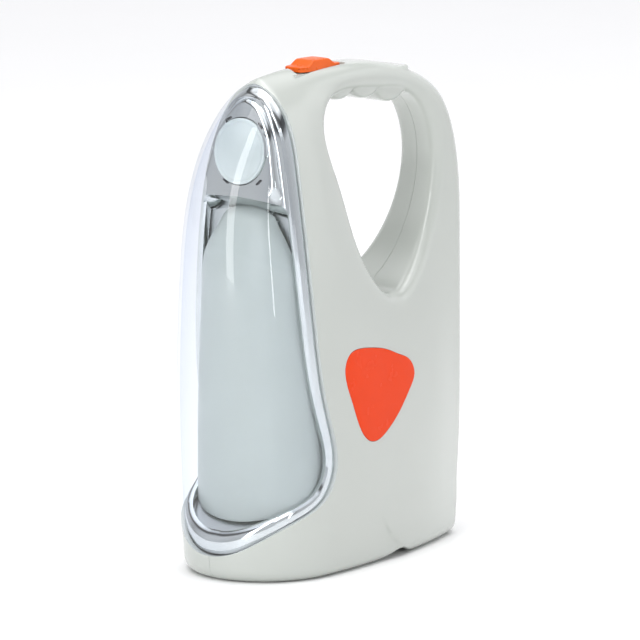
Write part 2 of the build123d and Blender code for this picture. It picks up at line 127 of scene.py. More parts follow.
# ---- curves and distances -------------------------------------------------------------
def spline(t, p, ends=None):
    """Cubic spline through p at t, with natural ends or the end slopes given."""
    t, p = np.asarray(t, float), np.asarray(p, float)
    n, h = len(t), np.diff(t)
    d = np.diff(p, axis=0) / h[:, None]
    a, b = np.zeros((n, n)), np.zeros_like(p)
    for i in range(1, n - 1):
        a[i, i - 1:i + 2] = h[i - 1], 2 * (h[i - 1] + h[i]), h[i]
        b[i] = 6 * (d[i] - d[i - 1])
    a[0, 0] = a[-1, -1] = 1
    if ends is not None:
        a[0, :2] = 2 * h[0], h[0]
        b[0] = 6 * (d[0] - np.array(ends[0]))
        a[-1, -2:] = h[-1], 2 * h[-1]
        b[-1] = 6 * (np.array(ends[1]) - d[-1])
    m = np.linalg.solve(a, b)

    def at(x):
        x = np.asarray(x, float)
        i = np.clip(np.searchsorted(t, x) - 1, 0, n - 2)
        u, w = (x - t[i])[..., None], h[i][..., None]
        return (p[i] + u * (d[i] - w * (2 * m[i] + m[i + 1]) / 6)
                + u * u * m[i] / 2 + u ** 3 * (m[i + 1] - m[i]) / (6 * w))
    return at


def curve(points, count, closed=False, ends=None):
    """count points along a smooth curve through points, spaced by chord length."""
    p = np.array(points, float)
    if closed:
        p = np.vstack([p, p, p, p[:1]])
    t = np.concatenate([[0], np.cumsum(np.linalg.norm(np.diff(p, axis=0), axis=1))])
    at = spline(t, p, ends)
    if closed:
        n = len(points)
        return at(np.linspace(t[n], t[2 * n], count, endpoint=False))
    return at(np.linspace(t[0], t[-1], count))


def polygon_distance(line):
    """Function of (y, z): distance to a closed polygon, negative inside."""
    a = np.asarray(line, float)
    b = np.roll(a, -1, axis=0)

    def at(y, z):
        y, z = np.broadcast_arrays(np.asarray(y, float), np.asarray(z, float))
        best = np.full(y.shape, 1e9)
        inside = np.zeros(y.shape, bool)
        for (y0, z0), (y1, z1) in zip(a, b):
            dy, dz = y1 - y0, z1 - z0
            t = np.clip(((y - y0) * dy + (z - z0) * dz) / (dy * dy + dz * dz), 0, 1)
            np.minimum(best, (y - y0 - t * dy) ** 2 + (z - z0 - t * dz) ** 2, out=best)
            if dz:
                inside ^= ((z0 <= z) != (z1 <= z)) & (y < y0 + (z - z0) * dy / dz)
        return np.where(inside, -1, 1) * np.sqrt(best)
    return at


def smooth_step(t):
    """Eases from 0 to 1."""
    t = np.clip(t, 0, 1)
    return t * t * (3 - 2 * t)


def round_max(a, b, r):
    """Intersection of two fields with its edge rounded to radius r."""
    u, v = np.maximum(a + r, 0), np.maximum(b + r, 0)
    return np.minimum(-r, np.maximum(a, b)) + np.sqrt(u * u + v * v)


def round_min(a, b, r):
    """Union of two fields with its inner edge rounded to radius r."""
    return -round_max(-a, -b, r)


# Side view of the body, in three runs from the front over the top to the foot.
top = curve([(-99, 215), (-57, 243.4), (-36, TOP_Z), (-4, TOP_Z)], 40,
            ends=((0.45, 0.9), (1, 0)))
shoulder = curve([(-4, TOP_Z), (24, 245.4), (50, 239.7), (74, 226.6), (86.5, 204), (BACK_Y, 160)],
                 60, ends=((1, 0), (0, -1)))
rear = curve([(BACK_Y, 160), (90.6, 96), (87.4, 38.7), (80.5, -8)], 30,
             ends=((0, -1), (-0.16, -1)))
outline_distance = polygon_distance(
    np.vstack([top, shoulder[1:], rear[1:], [(80, -60), (-200, -60), (-200, 215)]]))
hole_distance = polygon_distance(curve(HAND_HOLE, 110, closed=True))
rim_line = curve(RIM, 150)
rim_distance = polygon_distance(np.vstack([rim_line, [(-260, -60), (-260, 330), (-60, 330)]]))
insert_distance = polygon_distance(curve(INSERT, 72, closed=True))
crease_distance = polygon_distance(CREASE)
notch_distance = polygon_distance(NOTCH)
section_at = spline(SECTIONS[:, 0], SECTIONS[:, 1:])


def side_field(x, y, z):
    """Distance past the side wall of the body."""
    rim_x, rim_y, front_y, mid_x, rear_x = np.moveaxis(section_at(np.clip(z, -8, 252)), -1, 0)
    x = np.abs(x)
    q = np.sqrt((x / rim_x) ** 2 + (np.maximum(rim_y - y, 0) / (rim_y - front_y)) ** 2)
    front = (q - 1) * rim_x
    h0, h1, h2 = -rim_y, REAR_Y, PAST_BACK_Y - REAR_Y
    xs = [rim_x, mid_x, rear_x, 0 * rear_x + PAST_BACK_X]
    d0, d1, d2 = (xs[1] - xs[0]) / h0, (xs[2] - xs[1]) / h1, (xs[3] - xs[2]) / h2
    a11, a12, a22 = 2 * (1 / h0 + 1 / h1), 1 / h1, 2 * (1 / h1 + 1 / h2)
    b1, b2 = 3 * (d0 / h0 + d1 / h1), 3 * (d1 / h1 + d2 / h2)
    det = a11 * a22 - a12 * a12
    m1, m2 = (b1 * a22 - a12 * b2) / det, (a11 * b2 - a12 * b1) / det
    w = np.zeros(np.broadcast(y, z).shape) + rim_x
    starts = (rim_y, 0 * rim_y, 0 * rim_y + REAR_Y)
    for start, h, x0, x1, s0, s1 in zip(
            starts, (h0, h1, h2), xs, xs[1:], (0, m1, m2), (m1, m2, 0)):
        t = (y - start) / h
        c = np.clip(t, 0, 1)
        value = ((1 + 2 * c) * (1 - c) ** 2 * x0 + c * (1 - c) ** 2 * h * s0
                 + c * c * (3 - 2 * c) * x1 + c * c * (c - 1) * h * s1)
        w = np.where(t > 0, value, w)
    lobe = smooth_step(-crease_distance(y, z) / 1.3) * smooth_step((30 - z) / 15)
    return np.where(y < rim_y, front, x - w - 0.9 * lobe)


def side_terms(y, z):
    """The parts of the body field that don't depend on x."""
    return outline_distance(y, z), hole_distance(y, z), notch_distance(y, z)


def body_field(x, y, z, flat=None):
    """Negative inside the whole body, close to a distance near the surface."""
    outline, hole, notch = flat if flat is not None else side_terms(y, z)
    f = round_max(side_field(x, y, z), outline, EDGE_R)
    f = round_max(f, -z, BASE_R)
    f = round_max(f, -hole, HOLE_R)
    for index in range(3):
        rib_y = index * RIB_PITCH
        crest = 228.4 - 0.0032 * rib_y ** 2
        rib = np.hypot(y - rib_y, z - crest - RIB_R) - RIB_R
        rib = round_max(rib, np.abs(x) - RIB_HALF_WIDTH, 4.5)
        rib = np.maximum(rib, z - 241)
        f = round_min(f, rib, 0.7)
    return round_max(f, -notch, 0.9)


def gradient(field, p, eps=0.04):
    """Slope of a field at points, by central differences."""
    out = np.zeros_like(p)
    for axis in range(3):
        d = np.zeros(3)
        d[axis] = eps
        a, b = p + d, p - d
        out[:, axis] = (field(*a.T) - field(*b.T)) / (2 * eps)
    return out


def project(field, p, times=2):
    """Moves points onto field = 0."""
    for _ in range(times):
        g = gradient(field, p)
        p = p - (field(*p.T) / np.maximum((g * g).sum(1), 0.2))[:, None] * g
    return p


# ---- surface of the +X half -------------------------------------------------------------
def surface_net(values, origin, step):
    """Quad mesh of the zero level of a grid of values."""
    inside = values < 0
    nx, ny, nz = (n - 1 for n in values.shape)
    corners = [(i, j, k) for i in (0, 1) for j in (0, 1) for k in (0, 1)]

    def part(a, c):
        return a[c[0]:c[0] + nx, c[1]:c[1] + ny, c[2]:c[2] + nz]
    count = sum(part(inside, c).astype(int) for c in corners)
    mixed = (count > 0) & (count < 8)
    where = np.argwhere(mixed)
    index = np.full(mixed.shape, -1)
    index[mixed] = np.arange(len(where))
    total, hits = np.zeros((len(where), 3)), np.zeros(len(where))
    for c in corners:
        for axis in range(3):
            if c[axis]:
                continue
            e = tuple(v + (i == axis) for i, v in enumerate(c))
            va, vb = part(values, c)[mixed], part(values, e)[mixed]
            cross = (va < 0) != (vb < 0)
            t = va / np.where(cross, va - vb, 1)
            place = np.array(c, float) + t[:, None] * np.eye(3)[axis]
            total += np.where(cross[:, None], place, 0)
            hits += cross
    verts = (where + total / hits[:, None]) * step + origin
    faces = []
    for axis in range(3):
        u, v = (axis + 1) % 3, (axis + 2) % 3
        low = np.moveaxis(inside, (axis, u, v), (0, 1, 2))
        cell = np.moveaxis(index, (axis, u, v), (0, 1, 2))
        a, b = low[:-1, 1:-1, 1:-1], low[1:, 1:-1, 1:-1]
        i, j, k = np.nonzero(a != b)
        j, k = j + 1, k + 1
        quad = np.stack([cell[i, j - 1, k - 1], cell[i, j, k - 1], cell[i, j, k],
                         cell[i, j - 1, k]], axis=1)
        flip = ~low[i, j, k]
        quad[flip] = quad[flip][:, ::-1]
        faces.append(quad)
    faces = np.vstack(faces)
    return verts, faces[(faces >= 0).all(axis=1)]


STEP = 1.25               # cell size of the grid that the body is drawn from
xs = np.arange(-2 * STEP, 48.0, STEP)
ys = np.arange(-98.0, 96.0, STEP)
zs = np.arange(-3.1, 251.0, STEP)
flat_y, flat_z = np.meshgrid(ys, zs, indexing="ij")
flat_terms = [t[None] for t in side_terms(flat_y, flat_z)]
grid = body_field(xs[:, None, None], flat_y[None], flat_z[None], flat_terms)
verts, faces = surface_net(grid, np.array([xs[0], ys[0], zs[0]]), STEP)
for _ in range(2):
    sums, counts = np.zeros_like(verts), np.zeros(len(verts))
    for a, b in ((0, 1), (1, 2), (2, 3), (3, 0)):
        for i, j in ((a, b), (b, a)):
            np.add.at(sums, faces[:, i], verts[faces[:, j]])
            np.add.at(counts, faces[:, i], 1)
    verts = project(body_field, verts * 0.5 + 0.5 * sums / counts[:, None], 1)
verts = project(body_field, verts, 2)


def mesh_from(verts, faces):
    """A bmesh of the faces, without any that collapsed."""
    bm = bmesh.new()
    made = [bm.verts.new(v) for v in np.asarray(verts, float).tolist()]
    for f in np.asarray(faces).tolist():
        if len(set(f)) == len(f):
            bm.faces.new([made[i] for i in f])
    return bm


def places(items):
    """Vectors as rows of an array."""
    return np.array([tuple(v) for v in items], float).reshape(-1, 3)


def centres(bm):
    return places(f.calc_center_median() for f in bm.faces)


def cut_line(bm, value, snap=0.28, field=body_field, near=None):
    """Edges along value = 0 on the surface, with close vertices moved onto the line."""
    co = places(v.co for v in bm.verts)
    g = value(*co.T)
    allowed = np.ones(len(co), bool) if near is None else near(*co.T)
    close = (np.abs(g) < snap) & allowed
    if close.any():
        p = co[close]
        for _ in range(3):
            d = gradient(value, p)
            p = p - (value(*p.T) / np.maximum((d * d).sum(1), 0.3))[:, None] * d
            if field is not None:
                p = project(field, p, 1)
        co[close] = p
        g[close] = 0
    bm.verts.ensure_lookup_table()
    line = []
    for i in np.nonzero(close)[0]:
        bm.verts[i].co = co[i]
        line.append(bm.verts[i])
    bm.verts.index_update()
    crossing = []
    for e in bm.edges:
        a, b = e.verts[0].index, e.verts[1].index
        if g[a] * g[b] < 0 and allowed[a] and allowed[b]:
            crossing.append((e, e.verts[0], g[a] / (g[a] - g[b])))
    new = [bmesh.utils.edge_split(e, v, t)[1] for e, v, t in crossing]
    if new:
        p = places(v.co for v in new)
        for _ in range(2):
            d = gradient(value, p)
            p = p - (value(*p.T) / np.maximum((d * d).sum(1), 0.3))[:, None] * d
            if field is not None:
                p = project(field, p, 1)
        for v, q in zip(new, p):
            v.co = q
    bmesh.ops.connect_verts(bm, verts=line + new)


def drop(bm, unwanted):
    """Removes the faces whose centre is unwanted."""
    mask = unwanted(*centres(bm).T)
    gone = [f for f, m in zip(bm.faces, mask) if m]
    bmesh.ops.delete(bm, geom=gone, context="FACES")
    return bm


def rim_value(x, y, z):
    return rim_distance(y, z)


def insert_value(x, y, z):
    return insert_distance(y, z)


def on_side(x, y, z):
    return x > 12


def rounded_box(u, v, half_u, half_v, r):
    """Distance to a rectangle with round corners."""
    a, b = np.abs(u) - half_u + r, np.abs(v) - half_v + r
    return np.hypot(np.maximum(a, 0), np.maximum(b, 0)) + np.minimum(np.maximum(a, b), 0) - r


def recess_value(x, y, z):
    return rounded_box(x, y - SWITCH_Y, 6.85, 18.5, 2.8)


def on_top(x, y, z):
    return z > 241


def socket_value(x, y, z):
    return np.hypot(x, z - SOCKET_Z) - SOCKET_HOLE_R


def lamp_value(x, y, z):
    return np.hypot(x, z - INDICATOR_Z) - INDICATOR_HOLE_R


def on_back(x, y, z):
    return y > 78


half = mesh_from(verts, faces)
bmesh.ops.recalc_face_normals(half, faces=half.faces)
cut_line(half, rim_value)
bmesh.ops.bisect_plane(half, geom=half.verts[:] + half.edges[:] + half.faces[:], dist=0.02,
                       plane_co=(0, 0, 0), plane_no=(1, 0, 0), clear_inner=True)
for v in half.verts:
    if abs(v.co.x) < 0.03:
        v.co.x = 0
cover_half = drop(half.copy(), lambda x, y, z: rim_distance(y, z) > 0)
shell = drop(half, lambda x, y, z: rim_distance(y, z) < 0)
cut_line(shell, insert_value, near=on_side)
insert_half = drop(shell.copy(), lambda x, y, z: (insert_distance(y, z) > 0) | (x < 12))
drop(shell, lambda x, y, z: (insert_distance(y, z) < 0) & (x > 12))
for value, near in ((recess_value, on_top), (socket_value, on_back), (lamp_value, on_back)):
    cut_line(shell, value, near=near, snap=0.2)
    drop(shell, lambda x, y, z, value=value, near=near: (value(x, y, z) < 0) & near(x, y, z))


# ---- turning mesh code into pieces -------------------------------------------------------
def mirrored(bm):
    """A copy on the other side of x = 0."""
    out = bm.copy()
    for v in out.verts:
        v.co.x = -v.co.x
    bmesh.ops.reverse_faces(out, faces=out.faces)
    return out


def joined(*parts):
    """One bmesh out of several."""
    out = bmesh.new()
    for part in parts:
        me = bpy.data.meshes.new("part")
        part.to_mesh(me)
        out.from_mesh(me)
        bpy.data.meshes.remove(me)
    return out


def piece(name, bm, body, material, replaces=(), sharp=35):
    """A finished object, in metres, on a CAD body."""
    bmesh.ops.remove_doubles(bm, verts=bm.verts, dist=0.002)
    bmesh.ops.dissolve_degenerate(bm, edges=bm.edges, dist=0.001)
    bm.normal_update()
    limit = math.radians(sharp)
    for f in bm.faces:
        f.smooth = True
    for e in bm.edges:
        e.smooth = e.calc_face_angle(0.0) < limit
    me = bpy.data.meshes.new(name)
    bm.to_mesh(me)
    me.transform(Matrix.Scale(MM, 4))
    obj = bpy.data.objects.new(name, me)
    bpy.context.scene.collection.objects.link(obj)
    me.materials.append(material)
    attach(obj, body)
    if replaces:
        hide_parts(*replaces)


def modified(bm, *steps):
    """The mesh after modifiers, each step a (type, settings) pair, in millimetres."""
    me = bpy.data.meshes.new("work")
    bm.to_mesh(me)
    obj = bpy.data.objects.new("work", me)
    bpy.context.scene.collection.objects.link(obj)
    for kind, settings in steps:
        m = obj.modifiers.new(kind.lower(), kind)
        for key, value in settings.items():
            setattr(m, key, value)
    dg = bpy.context.evaluated_depsgraph_get()
    out = bmesh.new()
    final = bpy.data.meshes.new_from_object(obj.evaluated_get(dg))
    out.from_mesh(final)
    bpy.data.objects.remove(obj)
    bpy.data.meshes.remove(me)
    bpy.data.meshes.remove(final)
    return out


def wall(thickness):
    """Modifier step: gives a skin a wall on its inner side."""
    return ("SOLIDIFY", {"thickness": thickness, "offset": -1.0, "use_even_offset": False})


def rounded(width, segments=2, angle=40):
    """Modifier step: rounds the sharp edges."""
    return ("BEVEL", {"width": width, "segments": segments, "limit_method": "ANGLE",
                      "angle_limit": math.radians(angle), "use_clamp_overlap": True})


def box(size, centre, bevel=0.0, segments=2):
    bm = bmesh.new()
    bmesh.ops.create_cube(bm, size=1.0)
    for v in bm.verts:
        v.co = Vector(c * s for c, s in zip(v.co, size)) + Vector(centre)
    if bevel:
        bmesh.ops.bevel(bm, geom=bm.edges[:], offset=bevel, segments=segments, affect="EDGES",
                        profile=0.5)
    return bm


def lathe(profile, place, count=96):
    """Surface of revolution of (radius, height) points, closed at the axis."""
    bm = bmesh.new()
    rings = []
    for r, h in profile:
        if r == 0:
            rings.append([bm.verts.new(place @ Vector((0, 0, h)))])
            continue
        rings.append([bm.verts.new(place @ Vector((r * math.cos(a), r * math.sin(a), h)))
                      for a in (2 * math.pi * i / count for i in range(count))])
    for a, b in zip(rings, rings[1:]):
        for i in range(count):
            j = (i + 1) % count
            quad = [a[i % len(a)], a[j % len(a)], b[j % len(b)], b[i % len(b)]]
            bm.faces.new(dict.fromkeys(quad))
    bmesh.ops.recalc_face_normals(bm, faces=bm.faces)
    return bm


def sheet(rows, closed=False):
    """Quads between rows of points."""
    bm = bmesh.new()
    made = [[bm.verts.new(p) for p in row] for row in rows]
    for a, b in zip(made, made[1:]):
        for i in range(len(a) - (0 if closed else 1)):
            j = (i + 1) % len(a)
            bm.faces.new((a[i], a[j], b[j], b[i]))
    return bm


# ---- materials ---------------------------------------------------------------------------
def material(name, base, rough, metallic=0.0, spread=0.02, scale=60.0, bump=0.02,
             bump_scale=900.0, rough_spread=0.05, wear=0.0, coat=0.0, specular=0.5,
             subsurface=0.0):
    """Principled material with mottled colour, uneven roughness, fine bump and worn edges."""
    m = bpy.data.materials.new(name)
    m.use_nodes = True
    nt = m.node_tree
    out = nt.nodes["Principled BSDF"]
    link = nt.links.new
    at = nt.nodes.new("ShaderNodeTexCoord").outputs["Object"]

    def noise(size, detail):
        n = nt.nodes.new("ShaderNodeTexNoise")
        n.inputs["Scale"].default_value = size
        n.inputs["Detail"].default_value = detail
        link(at, n.inputs["Vector"])
        return n.outputs["Fac"]

    def ramp(fac, low, high, a=0.35, b=0.65):
        r = nt.nodes.new("ShaderNodeValToRGB")
        r.color_ramp.elements[0].position, r.color_ramp.elements[1].position = a, b
        r.color_ramp.elements[0].color, r.color_ramp.elements[1].color = low, high
        link(fac, r.inputs["Fac"])
        return r.outputs["Color"]

    low = tuple(max(c * (1 - spread), 0) for c in base) + (1,)
    high = tuple(min(c * (1 + spread), 1) for c in base) + (1,)
    colour = ramp(noise(scale, 4), low, high)
    if wear:
        geo = nt.nodes.new("ShaderNodeNewGeometry").outputs["Pointiness"]
        edge = ramp(geo, (0, 0, 0, 1), (wear, wear, wear, 1), 0.52, 0.62)
        mix = nt.nodes.new("ShaderNodeMix")
        mix.data_type = "RGBA"
        link(edge, mix.inputs["Factor"])
        link(colour, mix.inputs["A"])
        mix.inputs["B"].default_value = tuple(min(c * 1.15 + 0.03, 1) for c in base) + (1,)
        colour = mix.outputs["Result"]
    link(colour, out.inputs["Base Color"])
    r0, r1 = max(rough - rough_spread, 0.01), min(rough + rough_spread, 1)
    link(ramp(noise(scale * 2.3, 6), (r0, r0, r0, 1), (r1, r1, r1, 1)), out.inputs["Roughness"])
    b = nt.nodes.new("ShaderNodeBump")
    b.inputs["Strength"].default_value = bump
    b.inputs["Distance"].default_value = 0.0004
    link(noise(bump_scale, 2), b.inputs["Height"])
    link(b.outputs["Normal"], out.inputs["Normal"])
    out.inputs["Metallic"].default_value = metallic
    out.inputs["Coat Weight"].default_value = coat
    out.inputs["Coat Roughness"].default_value = 0.06
    out.inputs["Specular IOR Level"].default_value = specular
    if subsurface:
        out.inputs["Subsurface Weight"].default_value = subsurface
        out.inputs["Subsurface Radius"].default_value = (1.0, 1.0, 0.9)
        out.inputs["Subsurface Scale"].default_value = 0.006
    return m


def clear_material(name, tint, edge, rough):
    """Thin clear plastic: it tints what is behind it, and its outer side mirrors the studio."""
    m = material(name, (1, 1, 1), rough, spread=0.01, bump=0.01, bump_scale=120.0,
                 rough_spread=0.01)
    nt = m.node_tree
    link = nt.links.new
    bump = [n for n in nt.nodes if n.bl_idname == "ShaderNodeBump"][0]
    weight = nt.nodes.new("ShaderNodeLayerWeight")
    weight.inputs["Blend"].default_value = 0.3
    tone = nt.nodes.new("ShaderNodeMix")
    tone.data_type = "RGBA"
    link(weight.outputs["Facing"], tone.inputs["Factor"])
    tone.inputs["A"].default_value = (*tint, 1)
    tone.inputs["B"].default_value = (*edge, 1)
    see = nt.nodes.new("ShaderNodeBsdfTransparent")
    link(tone.outputs["Result"], see.inputs["Color"])
    shine = nt.nodes.new("ShaderNodeBsdfGlossy")
    shine.inputs["Roughness"].default_value = rough
    link(bump.outputs["Normal"], shine.inputs["Normal"])

    # The outer side is where the normal points away from the middle of the cover.
    from_middle = nt.nodes.new("ShaderNodeVectorMath")
    from_middle.operation = "MULTIPLY_ADD"
    link(nt.nodes.new("ShaderNodeTexCoord").outputs["Object"], from_middle.inputs[0])
    from_middle.inputs[1].default_value = (1, 1, 0)
    from_middle.inputs[2].default_value = (0, 0.046, 0)
    facing = nt.nodes.new("ShaderNodeVectorMath")
    facing.operation = "DOT_PRODUCT"
    link(from_middle.outputs["Vector"], facing.inputs[0])
    geometry = nt.nodes.new("ShaderNodeNewGeometry")
    link(geometry.outputs["Normal"], facing.inputs[1])
    outer = nt.nodes.new("ShaderNodeMath")
    outer.operation = "GREATER_THAN"
    outer.inputs[1].default_value = 0.0
    link(facing.outputs["Value"], outer.inputs[0])
    from_outside = nt.nodes.new("ShaderNodeMath")
    from_outside.operation = "SUBTRACT"
    from_outside.use_clamp = True
    link(outer.outputs["Value"], from_outside.inputs[0])
    link(geometry.outputs["Backfacing"], from_outside.inputs[1])
    fresnel = nt.nodes.new("ShaderNodeFresnel")
    fresnel.inputs["IOR"].default_value = 1.6
    amount = nt.nodes.new("ShaderNodeMath")
    amount.operation = "MULTIPLY"
    link(from_outside.outputs["Value"], amount.inputs[0])
    link(fresnel.outputs["Fac"], amount.inputs[1])
    mix = nt.nodes.new("ShaderNodeMixShader")
    link(amount.outputs["Value"], mix.inputs["Fac"])
    link(see.outputs["BSDF"], mix.inputs[1])
    link(shine.outputs["BSDF"], mix.inputs[2])
    link(mix.outputs["Shader"], nt.nodes["Material Output"].inputs["Surface"])
    nt.nodes.remove(nt.nodes["Principled BSDF"])
    return m


WHITE = material("body_white", (0.50, 0.527, 0.495), 0.16, spread=0.012, scale=14, bump=0.03,
                 bump_scale=2600, rough_spread=0.04, wear=0.3, coat=0.35)
CLEAR = clear_material("cover_clear", (0.972, 0.98, 0.99), (0.88, 0.905, 0.95), 0.03)
CHROME = material("chrome", (0.68, 0.705, 0.70), 0.07, metallic=1.0, spread=0.03, scale=40,
                  bump=0.015, bump_scale=160, rough_spread=0.03, wear=0.2)
MIRROR = material("reflector_chrome", (0.62, 0.645, 0.65), 0.42, metallic=1.0, spread=0.04, scale=50,
                  bump=0.03, bump_scale=220, rough_spread=0.05)
FROST = material("diffuser_frost", (0.47, 0.52, 0.50), 0.34, spread=0.02, scale=22, bump=0.05,
                 bump_scale=3000, rough_spread=0.06, subsurface=0.35, specular=0.45)
PEARL = material("lens_pearl", (0.60, 0.665, 0.65), 0.2, spread=0.03, scale=60, bump=0.04,
                 bump_scale=1500, rough_spread=0.06, subsurface=0.3, coat=0.3)
ORANGE = material("orange_plastic", (0.80, 0.05, 0.001), 0.24, spread=0.02, scale=45, bump=0.04,
                  bump_scale=2600, rough_spread=0.05, wear=0.2, specular=0.12)
SWITCH = material("orange_switch", (0.76, 0.115, 0.008), 0.3, spread=0.05, scale=90, bump=0.05,
                  bump_scale=2600, rough_spread=0.06, wear=0.3, specular=0.25)
BLACK = material("black_plastic", (0.02, 0.02, 0.022), 0.35, spread=0.15, scale=90, bump=0.08,
                 bump_scale=2400, wear=0.3)
STEEL = material("plated_steel", (0.55, 0.56, 0.58), 0.25, metallic=1.0, spread=0.08, scale=300,
                 bump=0.08, bump_scale=1800, rough_spread=0.1, wear=0.4)
BRASS = material("brass_pins", (0.72, 0.5, 0.2), 0.28, metallic=1.0, spread=0.1, scale=300,
                 bump=0.08, bump_scale=1800, rough_spread=0.1)
GREEN = material("green_board", (0.02, 0.13, 0.05), 0.35, spread=0.2, scale=160, bump=0.12,
                 bump_scale=700, coat=0.3)
BOARD = material("white_board", (0.66, 0.67, 0.66), 0.4, spread=0.04, scale=160, bump=0.1,
                 bump_scale=700)
LED = material("led_lens", (0.75, 0.76, 0.7), 0.12, spread=0.05, scale=500, bump=0.03, coat=0.5,
               subsurface=0.3)
RED = material("red_lens", (0.5, 0.012, 0.01), 0.12, spread=0.1, scale=700, bump=0.03, coat=0.5)
BATTERY = material("battery_case", (0.035, 0.036, 0.04), 0.45, spread=0.2, scale=120, bump=0.15,
                   bump_scale=1300, wear=0.3)
SLEEVE = material("capacitor_sleeve", (0.02, 0.03, 0.09), 0.3, spread=0.15, scale=200, bump=0.05,
                  coat=0.3)
WIRE = material("wire_sleeve", (0.35, 0.015, 0.012), 0.4, spread=0.1, scale=300, bump=0.06)

BY_SLOT = {
    "body_plastic": WHITE, "clear_cover": CLEAR, "chrome_trim": CHROME,
    "frosted_plastic": FROST, "pearl_lens": PEARL, "led_lens": LED, "green_board": GREEN,
    "white_board": BOARD, "orange_plastic": ORANGE, "orange_switch": SWITCH,
    "black_plastic": BLACK, "plated_steel": STEEL, "brass_pins": BRASS,
    "battery_case": BATTERY, "capacitor_sleeve": SLEEVE, "red_lens": RED, "wire_sleeve": WIRE,
}
for part in frame["record"]["subparts"]:
    data = NODES[part["node"]].data
    data.materials.clear()
    data.materials.append(BY_SLOT[part["material_slot"]])
NODES["lantern_reflector"].data.materials[0] = MIRROR


def inside_x(y, z, inset):
    """Half width of the body at (y, z), moved in by inset, or below zero outside it."""
    low, high = np.zeros_like(y), np.full_like(y, 60.0)
    start = body_field(low, y, z) + inset
    for _ in range(30):
        mid = (low + high) / 2
        inside = body_field(mid, y, z) + inset < 0
        low, high = np.where(inside, mid, low), np.where(inside, high, mid)
    return np.where(start < 0, low, -start)


# ---- housing -----------------------------------------------------------------------------
SEAM = 0.1                # half of the gap between the two shells
WELL_R = 3.3
for v in shell.verts:
    if v.co.x < SEAM:
        v.co.x = SEAM
left_shell = mirrored(shell)


def well_value(y0, z0):
    """Field of the screw well at (y0, z0)."""
    return lambda x, y, z: np.hypot(y - y0, z - z0) - WELL_R


for y0, z0 in SCREWS:
    value = well_value(y0, z0)
    cut_line(left_shell, value, snap=0.2, near=lambda x, y, z: x < -8)
    drop(left_shell, lambda x, y, z, value=value: (value(x, y, z) < 0) & (x < -8))

along_x = Matrix.Rotation(math.radians(-90), 4, "Y")
for side, skin in ((1, shell), (-1, left_shell)):
    body = modified(skin, wall(WALL), rounded(0.32))
    tray_x = 5.0
    extras = [box((tray_x, 42, TRAY_THICK), (side * (2.05 + SEAM + tray_x / 2), SWITCH_Y, TRAY_Z))]
    for end in (1, -1):
        extras.append(box((2.0, 14.5, TRAY_THICK),
                          (side * (1.05 + SEAM), SWITCH_Y + end * 13.7, TRAY_Z)))
    if side < 0:
        for y0, z0 in SCREWS:
            place = Matrix.Translation((-3.4, y0, z0)) @ along_x
            depth = float(inside_x(np.array([float(y0)]), np.array([float(z0)]), 1.2)[0]) - 3.4
            cup = [(4.6, depth), (3.35, depth), (3.35, 1.6), (1.65, 1.6), (1.65, 0), (4.6, 0),
                   (4.6, depth)]
            extras.append(lathe(cup, place, 40))
    else:
        for y0, z0 in SCREWS:
            place = Matrix.Translation((0.3, y0, z0)) @ Matrix.Rotation(math.radians(90), 4, "Y")
            extras.append(lathe([(3.6, 10), (1.5, 10), (1.5, 0), (3.6, 0), (3.6, 10)], place, 32))
    name = "housing_right" if side > 0 else "housing_left"
    piece(name + "_shell", joined(body, *extras), FIXED, WHITE, [name])

# Side inserts, a touch proud, with a softly rounded border.
for v in insert_half.verts:
    outward = insert_distance(v.co.y, v.co.z)
    if outward > -0.02:
        d = gradient(insert_value, np.array([tuple(v.co)]))[0]
        v.co -= Vector(d) * 0.22
insert_half.normal_update()
for v in insert_half.verts:
    v.co += v.normal * 0.12
plate = modified(insert_half, wall(1.5), rounded(0.5, 3))
piece("side_insert_right_plate", plate, FIXED, ORANGE, ["side_insert_right"])
piece("side_insert_left_plate", mirrored(plate), FIXED, ORANGE,
      ["side_insert_left"])

# ---- clear cover ---------------------------------------------------------------------------
cover = joined(cover_half, mirrored(cover_half))
bmesh.ops.remove_doubles(cover, verts=cover.verts, dist=0.01)
cover = modified(cover, wall(COVER_WALL), rounded(0.3))
piece("front_cover_shell", cover, FIXED, CLEAR, ["front_cover"])


# ---- chrome lip round the rim ----------------------------------------------------------------
def rim_row(ahead, inset, count):
    """Points on the body moved in by inset, ahead of the rim line, from the top down."""
    line = curve(RIM, 700)
    along = np.gradient(line, axis=0)
    along /= np.linalg.norm(along, axis=1)[:, None]
    y, z = line[:, 0] + along[:, 1] * ahead, line[:, 1] - along[:, 0] * ahead
    x = inside_x(y, z, inset)
    keep = np.nonzero(x > 0)[0]
    first, last = keep[0], keep[-1]
    p = np.stack([x, y, z], axis=1)[first:last + 1]
    p = np.vstack([[0, *p[0, 1:]], p, [0, *p[-1, 1:]]])
    t = np.concatenate([[0], np.cumsum(np.linalg.norm(np.diff(p, axis=0), axis=1))])
    t /= t[-1]
    at = np.linspace(0, 1, count)
    return np.stack([np.interp(at, t, p[:, i]) for i in range(3)], axis=1)


# The lip's section: distance ahead of the rim line, depth under the body's surface.
LIP = [(0.25, 2.15), (2.4, 2.15), (4.0, 2.6), (4.8, 3.6), (4.9, 5.0), (4.4, 6.2), (2.6, 7.0),
       (0.9, 7.1)]
rows = [rim_row(ahead, inset, 240) for ahead, inset in LIP]
lip = sheet(rows + [rows[0]])
lip = joined(lip, mirrored(lip))
bmesh.ops.remove_doubles(lip, verts=lip.verts, dist=0.01)
bmesh.ops.recalc_face_normals(lip, faces=lip.faces)
piece("chrome_bezel_lip", lip, FIXED, CHROME, ["chrome_bezel"], sharp=28)


# ---- torch head ------------------------------------------------------------------------------
def panel_y(z):
    """The torch panel's plane."""
    return TORCH.y + math.tan(TORCH_TILT) * (np.asarray(z) - TORCH.z)


